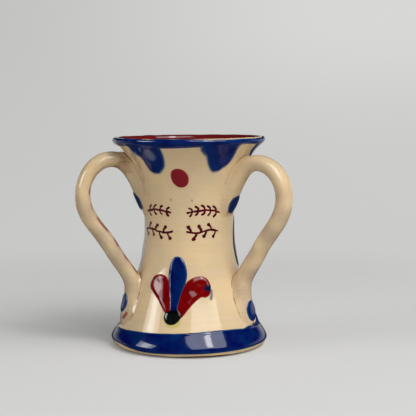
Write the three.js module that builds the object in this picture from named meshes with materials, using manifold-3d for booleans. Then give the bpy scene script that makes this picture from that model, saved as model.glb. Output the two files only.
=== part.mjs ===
// A small waisted vase with three pulled strap handles, in slip-decorated red earthenware.
//
// The body is thrown in one piece and dipped in cream slip. Each handle is a pulled strap, pressed
// onto the body at both ends. Coloured slip is laid over that: a band with six runs at the rim, a
// band round the foot, and brush strokes that stand proud as low domes.
//
// Millimetres, +Z up. The origin is the middle of the flat foot, on the surface that it stands on.
// Azimuths are in degrees about +Z, from the front (-Y), positive towards +X.

import * as THREE from "three";
import { mergeVertices } from "three/addons/utils/BufferGeometryUtils.js";
import Module from "manifold-3d";

const wasm = await Module();
wasm.setup();

// Driving dimensions of the thrown body. Each radius has its height on the outer face.
const footRadius = 28.2;
const footWidestHeight = 2.9;
const contactInset = 3.2;
const shoulderInset = 2.5;
const shoulderHeight = 7.6;
const waistRadius = 16.35;
const waistHeight = 43;
const rimRadius = 26.3;
const rimHeight = 73.4;
const lipOverhang = 1.2;
const lipRise = 2.6;
const lipThickness = 2.2;
const wall = 3.0;
const floorThickness = 4.5;
const floorCorner = { rise: 3, across: 2.2 };

// Driving dimensions of the handles' centre line, beside the body that carries them.
const upperEndAboveWaist = 5.6;
const upperEndSink = 0.9;
const archBelowRim = 4.7;
const archBeyondBody = 6.2;
const outermostBelowRim = 18.2;
const diagonalSag = { inward: 0.7, down: 2.3 };
const lowerBendHeight = 22;
const lowerBendBeyondBody = 1.1;
const lowerEndHeight = 9.4;
const lowerEndLift = 0.3;
const handleSettings = [
  { name: "handle_left", upperAzimuth: -85, lowerAzimuth: -72, reach: 38.8, archDrop: 0 },
  { name: "handle_right", upperAzimuth: 62, lowerAzimuth: 66, reach: 37.7, archDrop: 1.2 },
  { name: "handle_back", upperAzimuth: 171, lowerAzimuth: 170, reach: 38.5, archDrop: 0.5 },
];

// Driving dimensions of the straps. The spreads are shares of the length from the nearer end, and
// the tongue is how each end closes: over a share of the length, to a share of the full size.
const strapThickness = 5.4;
const strapWidth = 7.9;
const upperEndWidth = 10.8;
const lowerEndWidth = 9.4;
const lowerEndThickness = 4.55;
const upperSpread = { full: 0.05, none: 0.28 };
const lowerSpread = { full: 0.15, none: 0.55 };
const lowerThinning = { full: 0, none: 0.2 };
const tongue = { length: 0.055, width: 0.25, thickness: 0.59 };

// Driving dimensions of the coloured slip.
const slipThickness = 0.55;
const slipEdge = 0.2;
const rimBandHeight = 1.5;
const rimBandBelowCrest = 0.8;
const runDrop = 9.2;
const runHalfWidth = 15.5;
const runBluntness = 0.6;
const runAzimuths = [-37, 27, 85, 145, 196, 247];
const footBandBottom = 2.1;
const footBandTop = 8.3;
const footBandWave = { rise: 0.25, count: 3 };
const flowerHeight = 14;
const rimDotBelowRim = 11;
const rimDotSize = { across: 6.6, along: 6.3 };
const upperDot = { name: "upper_dot", share: 0.05, upward: 1, across: 5.6, along: 6.2 };
const lowerDot = { name: "lower_dot", share: 0.93, upward: -1, across: 5.0, along: 7.0 };
const leafLength = 19;
const leafWidth = 4.6;
const leafBow = 1.2;
const leafBaseApart = 11.2;
const leafTipApart = 6;
const leafAboveWaist = 4.75;

// Pieces that are cut by a neighbour, or rest on it, stand this far off it.
const seat = 0.3;

const segments = 60;

const creamGlaze = new THREE.MeshStandardMaterial({ color: 0xd2b58b, roughness: 0.18, metalness: 0 });
const blueSlip = new THREE.MeshStandardMaterial({ color: 0x15336a, roughness: 0.15, metalness: 0 });
const redSlip = new THREE.MeshStandardMaterial({ color: 0x84141f, roughness: 0.2, metalness: 0 });
const darkSlip = new THREE.MeshStandardMaterial({ color: 0x14101a, roughness: 0.2, metalness: 0 });

const radians = THREE.MathUtils.degToRad;
const point = (x, y) => new THREE.Vector2(x, y);

function namedMesh(name, geometry, material) {
  const mesh = new THREE.Mesh(geometry, material);
  mesh.name = name;
  return mesh;
}

// A row of cubic curves through points in radius and height. Each bow gives a curve's two inner
// points, as shares of its own run and rise.
function curvesThrough(points, bows) {
  return bows.map(({ leave, arrive }, index) => {
    const from = points[index];
    const to = points[index + 1];
    const inner = ([run, rise]) => point(
      THREE.MathUtils.lerp(from.x, to.x, run),
      THREE.MathUtils.lerp(from.y, to.y, rise),
    );
    return new THREE.CubicBezierCurve(from, inner(leave), inner(arrive), to);
  });
}

// The outer profile of the body. Its tangent is plumb at the foot's widest point and at the waist.
const contactRadius = footRadius - contactInset;
const shoulderRadius = footRadius - shoulderInset;
const lipRadius = rimRadius + lipOverhang;
const lipCentreHeight = rimHeight + lipRise - lipThickness / 2;
const profilePoints = [
  point(contactRadius, 0),
  point(footRadius, footWidestHeight),
  point(shoulderRadius, shoulderHeight),
  point(waistRadius, waistHeight),
  point(rimRadius, rimHeight),
  point(lipRadius, lipCentreHeight),
];
const profileBows = [
  { leave: [0.6, 0], arrive: [1, 0.4], steps: 3 },
  { leave: [0, 0.4], arrive: [0.6, 0.7], steps: 4 },
  { leave: [0.48, 0.31], arrive: [1, 0.675], steps: 7 },
  { leave: [0, 0.46], arrive: [0.24, 0.765], steps: 9 },
  { leave: [0.7, 0.52], arrive: [1, 0.69], steps: 2 },
];
const profileCurves = curvesThrough(profilePoints, profileBows);

// The radius of the outer face at a height. The profile climbs all the way, so halving finds it.
function bodyRadius(height) {
  const curve = profileCurves.find((piece) => height <= piece.v3.y) ?? profileCurves.at(-1);
  const halvings = 40;
  let low = 0;
  let high = 1;
  for (let step = 0; step < halvings; step++) {
    const middle = (low + high) / 2;
    if (curve.getPoint(middle).y < height) low = middle;
    else high = middle;
  }
  return curve.getPoint((low + high) / 2).x;
}

// How far the outer face leans out for each millimetre of height.
function bodyLean(height) {
  const step = 0.05;
  return (bodyRadius(height + step) - bodyRadius(height - step)) / (2 * step);
}

// A point at an azimuth and height on the outer face, raised by a distance square to it.
function bodyPoint(azimuth, height, lift = 0) {
  const lean = bodyLean(height);
  const slant = Math.hypot(1, lean);
  const radius = bodyRadius(height) + lift / slant;
  const turn = radians(azimuth);
  return new THREE.Vector3(
    radius * Math.sin(turn),
    -radius * Math.cos(turn),
    height - (lift * lean) / slant,
  );
}

// The half section of the hollow body: flat foot, outer face, round lip, inner face and floor.
function bodySection() {
  const section = [point(0, 0), point(contactRadius, 0)];
  profileCurves.forEach((curve, index) => {
    section.push(...curve.getPoints(profileBows[index].steps).slice(1));
  });
  const lipSteps = 4;
  const lipCentreRadius = lipRadius - lipThickness / 2;
  for (let step = 1; step <= lipSteps; step++) {
    const turn = (Math.PI * step) / lipSteps;
    section.push(point(
      lipCentreRadius + (lipThickness / 2) * Math.cos(turn),
      lipCentreHeight + (lipThickness / 2) * Math.sin(turn),
    ));
  }
  const innerSteps = 9;
  const innerTop = lipCentreHeight - lipThickness;
  const innerBottom = floorThickness + floorCorner.rise;
  for (let step = 0; step <= innerSteps; step++) {
    const height = THREE.MathUtils.lerp(innerTop, innerBottom, step / innerSteps);
    const thickness = wall * Math.hypot(1, bodyLean(height));
    section.push(point(bodyRadius(height) - thickness, height));
  }
  const corner = section.at(-1);
  const turned = radians(45);
  section.push(point(
    corner.x - floorCorner.across * (1 - Math.cos(turned)),
    corner.y - floorCorner.rise * Math.sin(turned),
  ));
  section.push(point(corner.x - floorCorner.across, floorThickness));
  section.push(point(0, floorThickness));
  return section;
}

// A closed surface, as a solid that can be joined and cut.
function toSolid(geometry) {
  const bare = new THREE.BufferGeometry();
  bare.setAttribute("position", geometry.getAttribute("position"));
  bare.setIndex(geometry.getIndex());
  const merged = mergeVertices(bare, 1e-4);
  const corners = merged.getIndex().array;
  const kept = [];
  for (let i = 0; i < corners.length; i += 3) {
    const [a, b, c] = corners.subarray(i, i + 3);
    if (a !== b && b !== c && c !== a) kept.push(a, b, c);
  }
  return new wasm.Manifold(new wasm.Mesh({
    numProp: 3,
    vertProperties: new Float32Array(merged.getAttribute("position").array),
    triVerts: new Uint32Array(kept),
  }));
}

function toGeometry(solid) {
  const mesh = solid.getMesh();
  const geometry = new THREE.BufferGeometry();
  geometry.setAttribute("position", new THREE.BufferAttribute(mesh.vertProperties, 3));
  geometry.setIndex(new THREE.BufferAttribute(mesh.triVerts, 1));
  geometry.computeVertexNormals();
  return geometry;
}

// A half section turned about +Z.
function revolve(section) {
  const lathe = new THREE.LatheGeometry(section, segments);
  lathe.rotateX(Math.PI / 2);
  return toSolid(lathe);
}

// Skins a row of loops, each with the same number of points. A closed row runs round into itself,
// and an open one is capped at both ends.
function loft(loops, closed = false) {
  const around = loops[0].length;
  const points = loops.flat();
  const faces = [];
  const spans = closed ? loops.length : loops.length - 1;
  for (let span = 0; span < spans; span++) {
    const here = span * around;
    const next = ((span + 1) % loops.length) * around;
    for (let i = 0; i < around; i++) {
      const j = (i + 1) % around;
      faces.push(here + i, here + j, next + i);
      faces.push(here + j, next + j, next + i);
    }
  }
  if (!closed) {
    for (const [start, isFirst] of [[0, true], [points.length - around, false]]) {
      const middle = new THREE.Vector3();
      for (let i = 0; i < around; i++) middle.addScaledVector(points[start + i], 1 / around);
      const centre = points.push(middle) - 1;
      for (let i = 0; i < around; i++) {
        const here = start + i;
        const next = start + ((i + 1) % around);
        faces.push(...(isFirst ? [next, here, centre] : [here, next, centre]));
      }
    }
  }
  const geometry = new THREE.BufferGeometry().setFromPoints(points);
  geometry.setIndex(faces);
  geometry.computeVertexNormals();
  return geometry;
}

// A handle's centre line, as radius and height: up the body from the upper end, over the arch, out
// to its furthest point, down a diagonal to the body, and along the flank to the lower end.
function handleLine({ reach, archDrop }) {
  const upperEnd = waistHeight + upperEndAboveWaist;
  const archHeight = rimHeight - archBelowRim - archDrop;
  const outermost = rimHeight - outermostBelowRim;
  const points = [
    point(bodyRadius(upperEnd) - upperEndSink, upperEnd),
    point(bodyRadius(archHeight) + archBeyondBody, archHeight),
    point(reach, outermost),
    point(
      (reach + bodyRadius(lowerBendHeight)) / 2 - diagonalSag.inward,
      (outermost + lowerBendHeight) / 2 - diagonalSag.down,
    ),
    point(bodyRadius(lowerBendHeight) + lowerBendBeyondBody, lowerBendHeight),
    point(bodyRadius(lowerEndHeight) + lowerEndLift, lowerEndHeight),
  ];
  const bows = [
    { leave: [0.15, 0.5], arrive: [0.375, 0.99] },
    { leave: [0.58, 0], arrive: [1, 0.48] },
    { leave: [0, 0.42], arrive: [0.55, 0.595] },
    { leave: [0.597, 0.535], arrive: [1, 0.68] },
    { leave: [0, 0.38], arrive: [0.57, 0.7] },
  ];
  const line = new THREE.CurvePath();
  for (const curve of curvesThrough(points, bows)) line.add(curve);
  return line;
}

// Width and thickness of the strap, from its upper end (0) to its lower end (1).
function strapSize(along) {
  const nearLower = 1 - along;
  const fullness = (share, { full, none }) => 1 - THREE.MathUtils.smoothstep(share, full, none);
  const width = strapWidth
    + (upperEndWidth - strapWidth) * fullness(along, upperSpread)
    + (lowerEndWidth - strapWidth) * fullness(nearLower, lowerSpread);
  const thickness = strapThickness
    + (lowerEndThickness - strapThickness) * fullness(nearLower, lowerThinning);
  const inTongue = Math.min(Math.min(along, nearLower) / tongue.length, 1);
  const roundness = Math.sqrt(1 - (1 - inTongue) ** 2);
  return {
    width: width * THREE.MathUtils.lerp(tongue.width, 1, roundness),
    thickness: thickness * THREE.MathUtils.lerp(tongue.thickness, 1, roundness),
  };
}

// A point on a handle's skin. Along runs from the upper end (0) to the lower (1), and around is
// an angle from the middle of the side that faces out of the loop.
function strapPoint(handle, along, around, lift = 0) {
  const centre = handle.line.getPointAt(along);
  const tangent = handle.line.getTangentAt(along);
  const size = strapSize(along);
  const across = (size.width / 2 + lift) * Math.sin(around);
  const outward = (size.thickness / 2 + lift) * Math.cos(around);
  const radius = centre.x - outward * tangent.y;
  const height = centre.y + outward * tangent.x;
  const turn = radians(THREE.MathUtils.lerp(handle.upperAzimuth, handle.lowerAzimuth, along));
  return new THREE.Vector3(
    radius * Math.sin(turn) + across * Math.cos(turn),
    -radius * Math.cos(turn) + across * Math.sin(turn),
    height,
  );
}

// The body's outside raised by the seat, solid to the axis, which trims what is pressed onto it.
function bodyBlank() {
  const steps = 24;
  const lowest = 0.2;
  const overrun = 1;
  const section = [point(0, -overrun), point(contactRadius, -overrun)];
  for (let step = 0; step <= steps; step++) {
    const height = THREE.MathUtils.lerp(lowest, lipCentreHeight, step / steps);
    const raised = bodyPoint(90, height, seat);
    section.push(point(raised.x, raised.z));
  }
  section.push(point(0, lipCentreHeight + overrun));
  return revolve(section);
}

function handleGeometry(handle, trim) {
  const rings = 30;
  const around = 12;
  const loops = [];
  for (let ring = 0; ring <= rings; ring++) {
    const loop = [];
    for (let i = 0; i < around; i++) {
      loop.push(strapPoint(handle, ring / rings, (-2 * Math.PI * i) / around));
    }
    loops.push(loop);
  }
  return toGeometry(toSolid(loft(loops)).subtract(trim));
}

// One brush stroke of raised slip. The surface takes millimetres across and along, and a lift.
// The stroke runs from its base to its tip with a sideways bow, and is fullest at a share of its
// length. It is round at both ends.
function stroke(surface, { base, tip, bow = 0, width, fullest = 0.5 }) {
  const rings = 8;
  const lanes = 3;
  const endTrim = 0.04;
  const run = new THREE.Vector2().subVectors(tip, base);
  const sideways = point(run.y, -run.x).normalize();
  const skew = Math.log(0.5) / Math.log(fullest);
  const loops = [];
  for (let ring = 0; ring <= rings; ring++) {
    const turn = Math.PI * THREE.MathUtils.lerp(endTrim, 1 - endTrim, ring / rings);
    const share = 0.5 - 0.5 * Math.cos(turn);
    const swell = Math.sqrt(Math.sin(Math.PI * share ** skew));
    const middle = base.clone().addScaledVector(run, share)
      .addScaledVector(sideways, bow * Math.sin(Math.PI * share));
    const top = [];
    const under = [];
    for (let lane = 0; lane <= lanes; lane++) {
      const side = (2 * lane) / lanes - 1;
      const place = middle.clone().addScaledVector(sideways, (side * swell * width) / 2);
      const dome = slipEdge + (slipThickness - slipEdge) * (1 - side * side) * swell;
      top.push(surface(place.x, place.y, seat + dome));
      under.unshift(surface(place.x, place.y, seat));
    }
    loops.push([...top, ...under]);
  }
  return loft(loops);
}

// A dot is a stroke as long as it is tall.
function dotOutline({ across, along }) {
  return { base: point(0, -along / 2), tip: point(0, along / 2), width: across };
}

// The body as a surface to paint on, measured in millimetres from a point on it.
function bodyCanvas(azimuth, height) {
  return (across, along, lift) => {
    const there = height + along;
    const turn = THREE.MathUtils.radToDeg(across / bodyRadius(there));
    return bodyPoint(azimuth + turn, there, lift);
  };
}

// A handle's end as a surface to paint on, on its side away from the body. At the upper end the
// strap climbs and that side is the loop's inner one; at the lower end it is the other way round.
function strapCanvas(handle, { share, upward }) {
  const length = handle.line.getLength();
  const face = upward > 0 ? Math.PI : 0;
  return (across, along, lift) => {
    const there = share + (upward * along) / length;
    const turn = Math.asin(across / (strapSize(there).width / 2));
    return strapPoint(handle, there, face - upward * turn, lift);
  };
}

// A ring of slip round the body, between a lower and an upper edge that change with azimuth. Its
// lanes crowd towards the upper edge by a power, to follow the turn of the lip.
function slipRing(lowerEdge, upperEdge, { azimuths, lanes, crowding = 1 }) {
  const loops = [];
  for (const azimuth of azimuths) {
    const low = lowerEdge(azimuth);
    const high = upperEdge(azimuth);
    const top = [];
    const under = [];
    for (let lane = 0; lane <= lanes; lane++) {
      const height = high - (high - low) * (1 - lane / lanes) ** crowding;
      const dome = lane === 0 || lane === lanes ? slipEdge : slipThickness;
      top.unshift(bodyPoint(azimuth, height, seat + dome));
      under.push(bodyPoint(azimuth, height, seat));
    }
    loops.push([...under, ...top]);
  }
  return loft(loops, true);
}

// How far the rim slip has run down at an azimuth: a full tongue under each run, none between.
function runDepth(azimuth) {
  let depth = 0;
  for (const middle of runAzimuths) {
    const apart = ((azimuth - middle + 540) % 360) - 180;
    const share = apart / runHalfWidth;
    if (Math.abs(share) < 1) depth = runDrop * (1 - share * share) ** runBluntness;
  }
  return depth;
}

// Azimuths round the rim, close together at the sides of each run and even between two runs.
function rimAzimuths() {
  const stepsAcrossRun = 12;
  const largestStep = 7;
  const azimuths = [];
  runAzimuths.forEach((middle, index) => {
    for (let step = 0; step <= stepsAcrossRun; step++) {
      const turn = Math.PI * (step / stepsAcrossRun - 0.5);
      azimuths.push(middle + runHalfWidth * Math.sin(turn));
    }
    const next = runAzimuths[index + 1] ?? runAzimuths[0] + 360;
    const gap = next - middle - 2 * runHalfWidth;
    const steps = Math.ceil(gap / largestStep);
    for (let step = 1; step < steps; step++) {
      azimuths.push(middle + runHalfWidth + (gap * step) / steps);
    }
  });
  return azimuths;
}

const vase = new THREE.Group();

vase.add(namedMesh("body", toGeometry(revolve(bodySection())), creamGlaze));

const handles = handleSettings.map((setting) => ({ ...setting, line: handleLine(setting) }));
const blank = bodyBlank();
for (const handle of handles) {
  vase.add(namedMesh(handle.name, handleGeometry(handle, blank), creamGlaze));
}

const rimBandTop = rimHeight + lipRise - rimBandBelowCrest;
vase.add(namedMesh("rim_slip", slipRing(
  (azimuth) => rimBandTop - rimBandHeight - runDepth(azimuth),
  () => rimBandTop,
  { azimuths: rimAzimuths(), lanes: 4, crowding: 2 },
), blueSlip));

const evenAzimuths = Array.from({ length: segments }, (_, step) => (360 * step) / segments);
vase.add(namedMesh("foot_slip", slipRing(
  () => footBandBottom,
  (azimuth) => footBandTop + footBandWave.rise * Math.sin(radians(footBandWave.count * azimuth)),
  { azimuths: evenAzimuths, lanes: 3 },
), blueSlip));

// A dot is pressed on at each end of each handle.
for (const handle of handles) {
  for (const dot of [upperDot, lowerDot]) {
    const geometry = stroke(strapCanvas(handle, dot), dotOutline(dot));
    vase.add(namedMesh(`${handle.name}_${dot.name}`, geometry, blueSlip));
  }
}

// The painted panels lie between the handles. Each has a dot under the rim and a flower of three
// strokes over a dark eye; the two that face the back also have a pair of tall dark leaves.
const flowerStrokes = [
  { name: "middle_petal", slip: blueSlip, base: [0, 4.4], tip: [0, 20.4], width: 6.8, fullest: 0.6 },
  { name: "left_petal", slip: redSlip, base: [-2.3, 3.2], tip: [-9.3, 13.5], width: 6.4, fullest: 0.68 },
  { name: "right_petal", slip: redSlip, base: [2.7, 2.2], tip: [12.1, 11.5], width: 6.4, fullest: 0.68 },
  { name: "eye", slip: darkSlip, base: [-0.6, -2.6], tip: [-0.6, 2.4], width: 5.7, fullest: 0.5 },
];

function panelMiddle(before, after) {
  const span = (after.lowerAzimuth - before.lowerAzimuth + 360) % 360;
  return before.lowerAzimuth + span / 2;
}

const [left, right, back] = handles;
const panels = [
  { name: "front", middle: panelMiddle(left, right), flowerShift: -9.5, dotShift: -5.6, leaves: false },
  { name: "back_right", middle: panelMiddle(right, back), flowerShift: 0, dotShift: 0, leaves: true },
  { name: "back_left", middle: panelMiddle(back, left), flowerShift: -7, dotShift: -4, leaves: true },
];
for (const panel of panels) {
  const flowerCanvas = bodyCanvas(panel.middle + panel.flowerShift, flowerHeight);
  for (const { name, slip, base, tip, width, fullest } of flowerStrokes) {
    const outline = { base: point(...base), tip: point(...tip), width, fullest };
    vase.add(namedMesh(`${panel.name}_${name}`, stroke(flowerCanvas, outline), slip));
  }
  const rimDotCanvas = bodyCanvas(panel.middle + panel.dotShift, rimHeight - rimDotBelowRim);
  const rimDot = stroke(rimDotCanvas, dotOutline(rimDotSize));
  vase.add(namedMesh(`${panel.name}_rim_dot`, rimDot, redSlip));
  if (!panel.leaves) continue;
  const leafBaseHeight = waistHeight + leafAboveWaist - leafLength;
  const leafCanvas = bodyCanvas(panel.middle + panel.flowerShift, leafBaseHeight);
  for (const [name, side] of [["left_leaf", -1], ["right_leaf", 1]]) {
    const leaf = stroke(leafCanvas, {
      base: point(side * leafBaseApart, 0),
      tip: point(side * leafTipApart, leafLength),
      bow: side * -leafBow,
      width: leafWidth,
    });
    vase.add(namedMesh(`${panel.name}_${name}`, leaf, darkSlip));
  }
}

export default vase;
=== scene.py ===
import math

import bpy
import numpy as np
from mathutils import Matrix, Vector


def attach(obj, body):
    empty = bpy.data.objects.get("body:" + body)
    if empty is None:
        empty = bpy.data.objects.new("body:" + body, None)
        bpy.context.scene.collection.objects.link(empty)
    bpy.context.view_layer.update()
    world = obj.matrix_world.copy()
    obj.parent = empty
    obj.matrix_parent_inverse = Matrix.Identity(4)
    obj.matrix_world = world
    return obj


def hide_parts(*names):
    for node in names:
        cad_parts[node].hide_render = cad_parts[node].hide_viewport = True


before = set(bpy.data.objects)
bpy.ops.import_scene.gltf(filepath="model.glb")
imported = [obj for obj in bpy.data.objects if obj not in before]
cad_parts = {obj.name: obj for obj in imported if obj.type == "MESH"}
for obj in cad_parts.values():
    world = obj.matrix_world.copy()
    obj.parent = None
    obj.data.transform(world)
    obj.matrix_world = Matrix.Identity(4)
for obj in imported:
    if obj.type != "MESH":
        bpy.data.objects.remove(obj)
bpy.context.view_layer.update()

# The camera
# A long lens held about 0.42 m away, a little above the rim, looking slightly down.
looking_down = 5.29
camera_data = bpy.data.cameras.new("camera")
camera_data.sensor_width = 36
camera_data.lens = 99.95
camera = bpy.data.objects.new("camera", camera_data)
camera.location = (0.0070, -0.4218, 0.0891)
camera.rotation_euler = (math.radians(90 - looking_down), 0, 0)
bpy.context.scene.collection.objects.link(camera)
bpy.context.scene.camera = camera

# The cream glaze
# The pot is dipped in cream slip over red clay, and the whole is covered with a clear, slightly
# yellow lead glaze. Iron in the clay comes through as small dark specks.
relief = 0.00012


def add_node(tree, kind, inputs=(), **settings):
    """A shader node with its settings, and a value or another node's output for each input."""
    made = tree.nodes.new(kind)
    for key, value in settings.items():
        setattr(made, key, value)
    for key, value in dict(inputs).items():
        if isinstance(value, bpy.types.NodeSocket):
            tree.links.new(value, made.inputs[key])
        else:
            made.inputs[key].default_value = value
    return made


def blend_colours(tree, share, below, above):
    """Paints the colour above over the one below, by a share from 0 to 1."""
    mix = add_node(tree, "ShaderNodeMix", {0: share, 6: below, 7: above}, data_type="RGBA")
    return mix.outputs[2]


def fade(tree, value, start, end):
    """0 up to the start and 1 from the end on, smooth between them. The end may be the lower one."""
    low, high = (start, end) if start < end else (end, start)
    ramp = add_node(
        tree, "ShaderNodeMapRange",
        {0: value, 1: low, 2: high, 3: float(start > end), 4: float(start < end)},
        interpolation_type="SMOOTHSTEP",
    )
    return ramp.outputs[0]


def reckon(tree, operation, *values):
    """One step of arithmetic on numbers or other nodes' outputs."""
    return add_node(tree, "ShaderNodeMath", dict(enumerate(values)), operation=operation).outputs[0]


def painted(tree, name):
    """What a mesh says under this name at each point, from 0 to 1."""
    return add_node(tree, "ShaderNodeAttribute", attribute_name=name).outputs["Fac"]


def object_place(tree, scale=None):
    """A point's place on the object, or that place scaled differently along each axis."""
    place = add_node(tree, "ShaderNodeTexCoord").outputs["Object"]
    if scale is None:
        return place
    return add_node(tree, "ShaderNodeVectorMath", {0: place, 1: scale}, operation="MULTIPLY").outputs[0]


def noise(tree, place, scale, detail=2.0, roughness=0.5):
    made = add_node(
        tree, "ShaderNodeTexNoise",
        {"Vector": place, "Scale": scale, "Detail": detail, "Roughness": roughness},
    )
    return made.outputs[0]


def firing_marks():
    """The node group that every glaze uses: slow clouds, fine grain, iron specks and pinholes."""
    group = bpy.data.node_groups.new("firing_marks", "ShaderNodeTree")
    for given_name in ("Specks", "Cloud size"):
        group.interface.new_socket(given_name, in_out="INPUT", socket_type="NodeSocketFloat")
    for output in ("Cloud", "Grain", "Speck", "Height"):
        group.interface.new_socket(output, in_out="OUTPUT", socket_type="NodeSocketFloat")
    given = group.nodes.new("NodeGroupInput")
    result = group.nodes.new("NodeGroupOutput")
    place = object_place(group)
    cloud = noise(group, place, reckon(group, "DIVIDE", 1.0, given.outputs["Cloud size"]), 3.0)
    grain = noise(group, place, 1900.0, 3.0, 0.6)
    cells = add_node(group, "ShaderNodeTexVoronoi", {"Vector": place, "Scale": 290.0})
    spot = fade(group, cells.outputs["Distance"], 0.10, 0.055)
    chance = add_node(group, "ShaderNodeSeparateColor", {0: cells.outputs["Color"]}).outputs[0]
    few = fade(group, reckon(group, "ADD", chance, given.outputs["Specks"]), 0.965, 0.99)
    speck = reckon(group, "MULTIPLY", spot, few)
    ripple = reckon(group, "MULTIPLY", noise(group, place, 110.0, 1.0), 0.35)
    height = reckon(group, "ADD", ripple, reckon(group, "MULTIPLY", grain, 0.008))
    height = reckon(group, "SUBTRACT", height, reckon(group, "MULTIPLY", speck, 0.12))
    for name, value in (("Cloud", cloud), ("Grain", grain), ("Speck", speck), ("Height", height)):
        group.links.new(value, result.inputs[name])
    return group


fired = firing_marks()


def new_finish(name, shown_as):
    """A material, its node tree and its shader."""
    finish = bpy.data.materials.new(name)
    finish.diffuse_color = (*shown_as, 1)
    finish.use_nodes = True
    return finish, finish.node_tree, finish.node_tree.nodes["Principled BSDF"]


def add_marks(tree, specks, cloud_size):
    given = {"Specks": specks, "Cloud size": cloud_size}
    return add_node(tree, "ShaderNodeGroup", node_tree=fired, inputs=given)


def glaze_over(tree, shader, marks, colour, smoothest, broken, bare=None):
    """Ends a glazed finish: its colour, a gloss broken a little by the grain, and its relief.
    Where bare says so, from 0 to 1, it is rough clay."""
    roughness = reckon(tree, "MULTIPLY_ADD", marks.outputs["Grain"], broken, smoothest)
    if bare is not None:
        roughness = reckon(tree, "ADD", roughness, reckon(tree, "MULTIPLY", bare, 0.5))
    bump = add_node(tree, "ShaderNodeBump", {"Height": marks.outputs["Height"], "Distance": relief})
    for value, name in ((colour, "Base Color"), (roughness, "Roughness"), (bump.outputs[0], "Normal")):
        tree.links.new(value, shader.inputs[name])


cream_glaze, tree, shader = new_finish("cream_glaze", (0.62, 0.45, 0.26))
marks = add_marks(tree, 0.010, 0.014)
warm_cream = (0.70, 0.522, 0.305, 1)
grey_cream = (0.625, 0.485, 0.305, 1)
pooled_cream = (0.62, 0.40, 0.16, 1)
iron_speck = (0.085, 0.035, 0.02, 1)
red_clay = (0.135, 0.0085, 0.009, 1)
raw_clay = (0.16, 0.035, 0.022, 1)
colour = blend_colours(tree, fade(tree, marks.outputs["Cloud"], 0.35, 0.68), warm_cream, grey_cream)
throwing_lines = noise(tree, object_place(tree, (1.0, 1.0, 11.0)), 75.0, 3.0, 0.6)
throwing_lines = reckon(tree, "MULTIPLY", fade(tree, throwing_lines, 0.42, 0.68), 0.16)
colour = blend_colours(tree, throwing_lines, colour, pooled_cream)
grain_wide = reckon(tree, "SUBTRACT", marks.outputs["Grain"], 0.5)
# Tints laid over the cream by their masks. Some carry painted light: painted shade in the thin glaze
# under the rim and in the red on the left strap's inner side, and a painted grey reflection on the
# handles' upper tongues.
for mask_name, tint, strength in (
    ("pooled", pooled_cream, 0.8),
    ("thin_glaze_and_shade", (0.27, 0.135, 0.075, 1), 0.9),
    ("greyed_with_shade_and_sheen", (0.41, 0.295, 0.210, 1), 0.6),
    ("bled", (0.075, 0.11, 0.20, 1), 0.85),
    ("seeped_red_and_shade", (0.26, 0.045, 0.05, 1), 0.9),
    ("stained", (0.50, 0.42, 0.07, 1), 0.7),
):
    amount = reckon(tree, "ADD", painted(tree, mask_name), reckon(tree, "MULTIPLY", grain_wide, 0.9))
    amount = reckon(tree, "MULTIPLY", fade(tree, amount, 0.15, 0.95), strength)
    colour = blend_colours(tree, amount, colour, tint)
speck = reckon(tree, "MAXIMUM", marks.outputs["Speck"], painted(tree, "specked"))
colour = blend_colours(tree, reckon(tree, "MULTIPLY", speck, 0.8), colour, iron_speck)
colour = blend_colours(tree, fade(tree, painted(tree, "clay"), 0.35, 0.65), colour, red_clay)
raw = fade(tree, painted(tree, "raw"), 0.35, 0.65)
colour = blend_colours(tree, raw, colour, raw_clay)
glaze_over(tree, shader, marks, colour, 0.04, 0.04, raw)

# The thrown body
# One piece of red earthenware, thrown on the wheel with a 3 mm wall and turned at the foot. The
# cream slip stops at the lip and at the foot's edge, so the inside and the underside are red.
mm = 0.001
profile_points = [(25.0, 0.0), (28.3, 2.4), (25.7, 7.6), (16.35, 43.0), (26.3, 73.4), (27.5, 74.9)]
profile_bows = [
    ((0.6, 0.0), (1.0, 0.4)),
    ((0.0, 0.26), (0.6, 0.7)),
    ((0.48, 0.31), (1.0, 0.675)),
    ((0.0, 0.46), (0.24, 0.765)),
    ((0.7, 0.52), (1.0, 0.69)),
]
lip_centre = (26.4, 74.9)
lip_half_thickness = 1.1
wall = 3.0
floor_height = 4.5
floor_corner = (2.2, 3.0)
sag = 0.5


def curves_through(points, bows, steps=400):
    """Points along cubic curves. A bow places a curve's inner points by shares of run and rise."""
    share = np.linspace(0, 1, steps + 1)[:, None]
    pieces = []
    for start, end, (leave, arrive) in zip(points, points[1:], bows):
        start, end = np.array(start), np.array(end)
        first = start + (end - start) * np.array(leave)
        second = start + (end - start) * np.array(arrive)
        piece = (
            (1 - share) ** 3 * start
            + 3 * (1 - share) ** 2 * share * first
            + 3 * (1 - share) * share ** 2 * second
            + share ** 3 * end
        )
        pieces.append(piece[1:] if pieces else piece)
    return np.vstack(pieces)


def lengths_along(line):
    return np.concatenate([[0], np.cumsum(np.linalg.norm(np.diff(line, axis=0), axis=1))])


outer_profile = curves_through(profile_points, profile_bows)
lip_turns = np.linspace(0, math.pi, 121)
lip_ways = np.stack([np.cos(lip_turns), np.sin(lip_turns)], axis=-1)
lip_arc = np.array(lip_centre) + lip_half_thickness * lip_ways[1:]
face_line = np.vstack([outer_profile, lip_arc])
face_lengths = lengths_along(face_line)
face_end = face_lengths[-1]
crest_length = np.interp(math.pi / 2, lip_turns, face_lengths[-len(lip_turns):])


def ease(value, start, end):
    """0 up to the start and 1 from the end on, smooth between them."""
    share = np.clip((value - start) / (end - start), 0, 1)
    return share * share * (3 - 2 * share)


def hump(value, middle, width):
    """1 at the middle, falling smoothly towards 0 on both sides."""
    return np.exp(-(((value - middle) / width) ** 2))


def rim_tilt(turn, height):
    """How much higher the rim stands towards the right, where the pot sagged a little."""
    return sag * ((1 + np.sin(turn)) / 2) ** 2 * ease(height, 56.0, 74.0)


def body_radius(height):
    return np.interp(height, outer_profile[:, 1], outer_profile[:, 0])


def body_lean(height):
    step = 0.15
    return (body_radius(height + step) - body_radius(height - step)) / (2 * step)


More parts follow.
